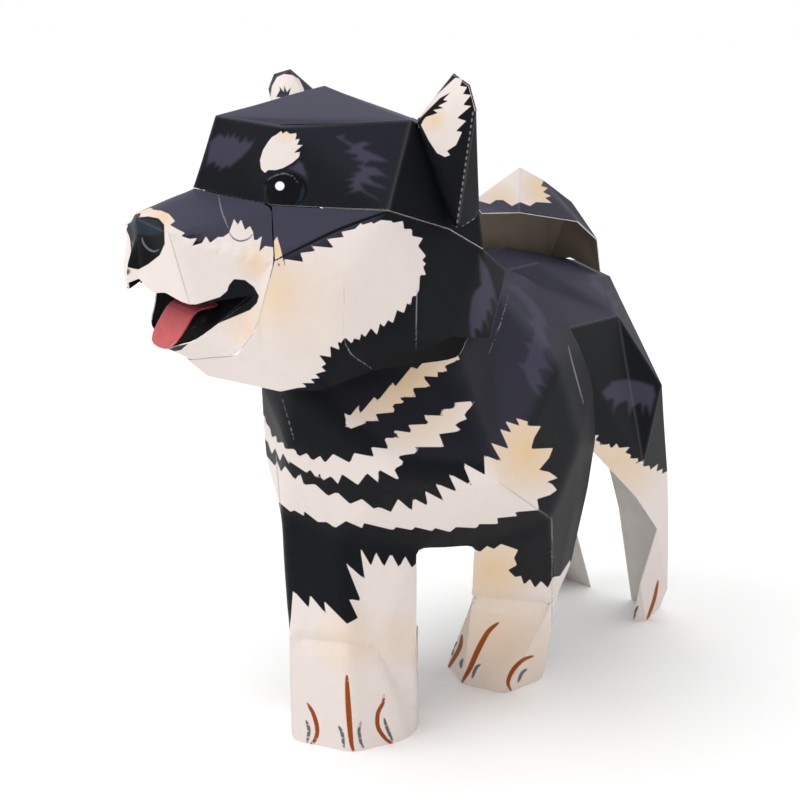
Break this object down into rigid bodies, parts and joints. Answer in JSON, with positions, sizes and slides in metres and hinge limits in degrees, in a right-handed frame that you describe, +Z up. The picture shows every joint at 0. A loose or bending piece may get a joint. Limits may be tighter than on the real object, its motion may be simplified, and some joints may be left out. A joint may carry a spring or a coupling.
{
  "type": "papercraft dog",
  "caption": "Free-standing card model of a black and tan puppy, folded from printed sheets, with its head turned to its right, its mouth open and its tail curled over the back.",
  "frame": {"origin": "centre of the bounding box, on the floor plane under the paws", "axes": "+Z up; the dog heads along -Y, with its chest turned 20 degrees to its left of that and its rump 10 degrees to its right; its left side is +X"},
  "size_m": [0.096, 0.1822, 0.1775],
  "materials": {
    "black_card": "matte print on white card",
    "cream_card": "matte print on white card",
    "rose_card": "matte print on white card"
  },
  "bodies": {
    "root": {"head_upper": "black_card", "head_lower": "cream_card", "muzzle": "cream_card", "mouth_lining": "black_card", "tongue": "rose_card", "left_ear": "black_card", "right_ear": "black_card", "front_body": "black_card", "rear_body": "black_card", "tail": "black_card"}
  },
  "joints": []
}
